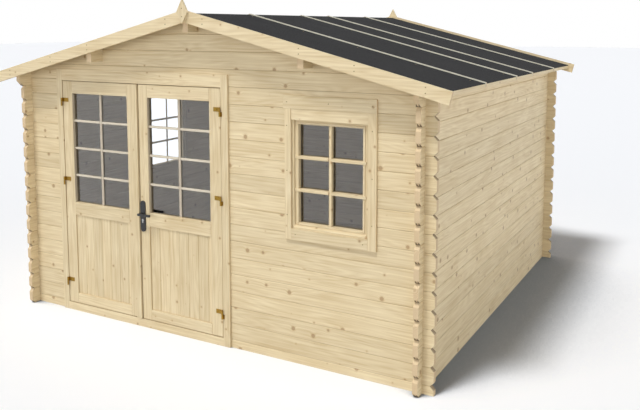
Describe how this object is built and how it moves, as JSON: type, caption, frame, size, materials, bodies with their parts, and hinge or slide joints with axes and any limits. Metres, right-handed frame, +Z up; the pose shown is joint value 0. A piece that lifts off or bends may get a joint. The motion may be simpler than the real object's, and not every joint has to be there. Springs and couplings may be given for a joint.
{
  "type": "garden log cabin",
  "caption": "Small pitched-roof garden log cabin with interlocking log walls, felted roof, half-glazed double door and barred windows.",
  "frame": {"origin": "on the ground, in the middle of the plan of the roof and finials", "axes": "+Z up, +X to the right seen from outside the door, -Y out of the door side, ridge along Y"},
  "size_m": [3.848, 3.598, 2.4573],
  "materials": {
    "log_pine": "planed pine",
    "joinery_pine": "smooth planed pine",
    "floor_pine": "sawn pine",
    "felt": "mineral-faced bitumen felt",
    "glazing": "clear",
    "hinge_brass": "brushed",
    "black_metal": "satin black"
  },
  "bodies": {
    "cabin": {"back_barge_left": "joinery_pine", "back_barge_right": "joinery_pine", "back_wall": "log_pine", "door_header": "joinery_pine", "door_sill": "joinery_pine", "eave_boards": "joinery_pine", "felt_battens": "joinery_pine", "finials": "joinery_pine", "floor_boards": "floor_pine", "floor_joists": "floor_pine", "front_barge_left": "joinery_pine", "front_barge_right": "joinery_pine", "front_gable": "log_pine", "front_wall_left": "log_pine", "front_wall_right": "log_pine", "front_window_frame": "joinery_pine", "front_window_glass": "glazing", "front_window_sash": "joinery_pine", "front_window_trim": "joinery_pine", "left_door_post": "joinery_pine", "left_post_hinges": "hinge_brass", "left_roof_boards": "log_pine", "left_wall": "log_pine", "left_window_frame": "joinery_pine", "left_window_glass": "glazing", "left_window_sash": "joinery_pine", "left_window_trim": "joinery_pine", "ridge_purlin": "log_pine", "right_door_post": "joinery_pine", "right_post_hinges": "hinge_brass", "right_roof_boards": "log_pine", "right_wall": "log_pine", "roof_felt": "felt", "side_purlins": "log_pine"},
    "left_door": {"left_door_frame": "joinery_pine", "left_door_glass": "glazing", "left_door_panel": "joinery_pine", "cover_strip": "joinery_pine", "left_door_hinges": "hinge_brass"},
    "right_door": {"right_door_frame": "joinery_pine", "right_door_glass": "glazing", "right_door_panel": "joinery_pine", "right_door_hinges": "hinge_brass", "lock_plates": "black_metal"},
    "handle": {"door_handle": "black_metal"}
  },
  "joints": [
    {"name": "left_door_hinge", "type": "hinge", "parent": "cabin", "child": "left_door", "pos_m": [-1.3155, -1.6715, 0.96], "axis": [0, 0, -1], "range_deg": [0, 110]},
    {"name": "right_door_hinge", "type": "hinge", "parent": "cabin", "child": "right_door", "pos_m": [0.2095, -1.6715, 0.96], "axis": [0, 0, 1], "range_deg": [0, 110]},
    {"name": "handle_turn", "type": "hinge", "parent": "right_door", "child": "handle", "pos_m": [-0.5125, -1.637, 0.884], "axis": [0, 1, 0], "range_deg": [0, 35], "stiffness_Nm_per_rad": 1}
  ]
}
